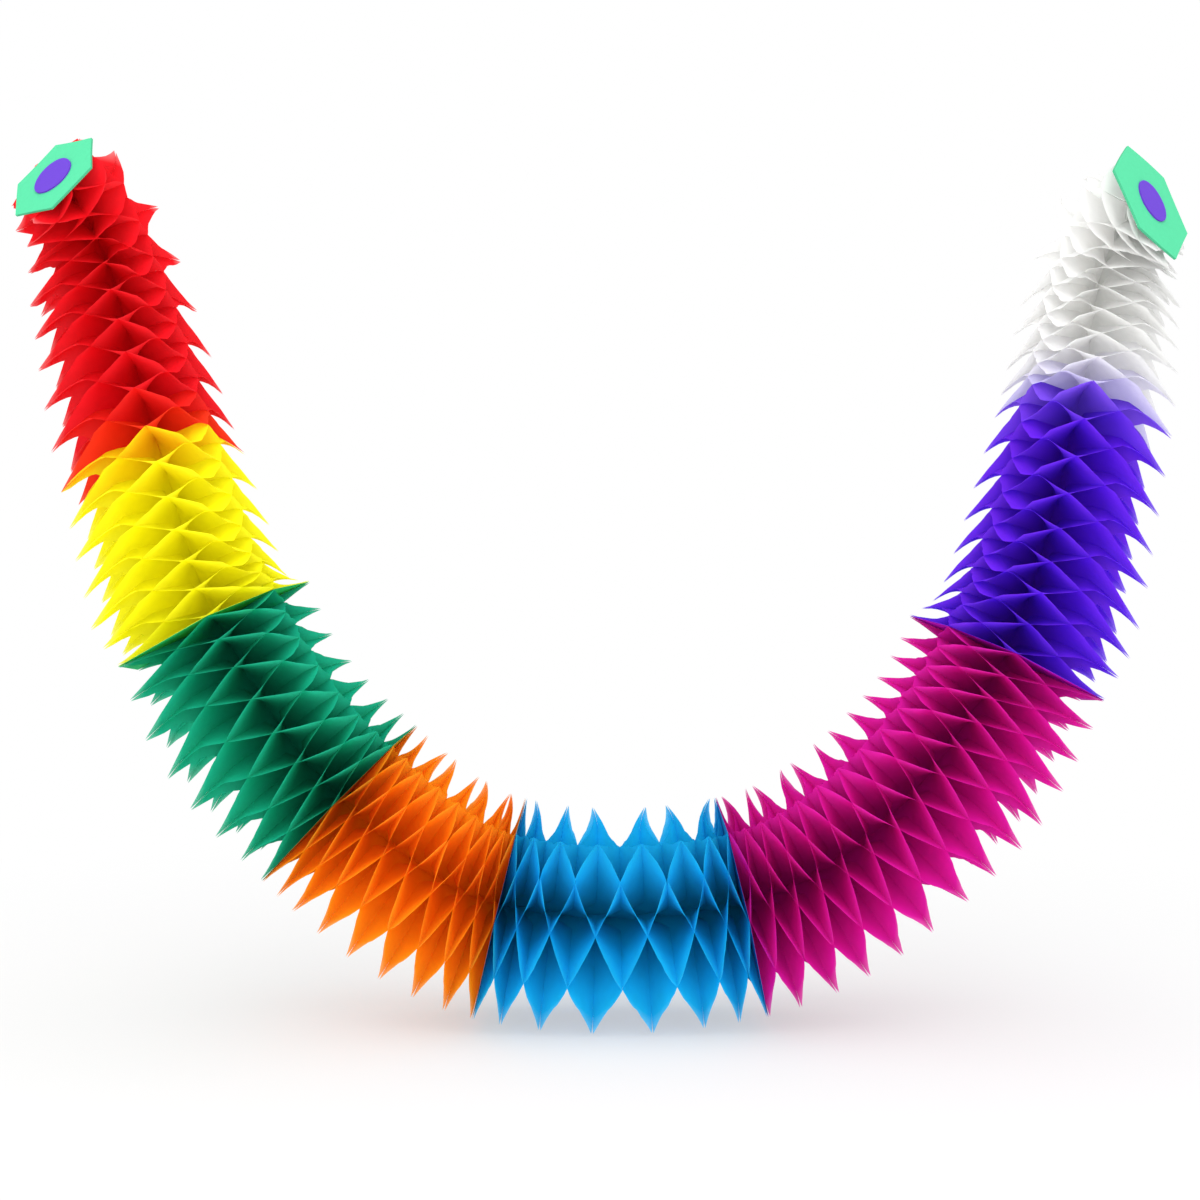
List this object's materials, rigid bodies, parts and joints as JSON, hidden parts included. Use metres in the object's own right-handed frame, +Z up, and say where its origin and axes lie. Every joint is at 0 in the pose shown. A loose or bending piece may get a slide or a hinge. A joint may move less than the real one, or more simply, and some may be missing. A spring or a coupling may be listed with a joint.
{
  "type": "honeycomb paper garland",
  "caption": "Hanging party garland of folded tissue sheets in coloured blocks, glued into open diamond cells with pointed corners, with a hexagonal card and a round dot on each end.",
  "frame": {"origin": "middle of the outer face of the dot on the left end card, where the garland is stuck or pinned up", "axes": "+X along the span from the left end to the right end, +Y away from the viewer, +Z up"},
  "size_m": [0.7881, 0.1478, 0.5926],
  "materials": {
    "red_tissue": "thin matt tissue, lit through where it is one sheet thick",
    "yellow_tissue": "thin matt tissue, lit through where it is one sheet thick",
    "green_tissue": "thin matt tissue, lit through where it is one sheet thick",
    "orange_tissue": "thin matt tissue, lit through where it is one sheet thick",
    "blue_tissue": "thin matt tissue, lit through where it is one sheet thick",
    "magenta_tissue": "thin matt tissue, lit through where it is one sheet thick",
    "purple_tissue": "thin matt tissue, lit through where it is one sheet thick",
    "white_tissue": "thin matt tissue, lit through where it is one sheet thick",
    "mint_card": "matt coloured card with a pale cut edge",
    "purple_dot": "matt coloured paper"
  },
  "bodies": {
    "root": {"red_section": "red_tissue", "yellow_section": "yellow_tissue", "green_section": "green_tissue", "orange_section": "orange_tissue", "blue_section": "blue_tissue", "magenta_section": "magenta_tissue", "purple_section": "purple_tissue", "white_section": "white_tissue", "left_end_card": "mint_card", "left_end_dot": "purple_dot", "right_end_card": "mint_card", "right_end_dot": "purple_dot"}
  },
  "joints": []
}
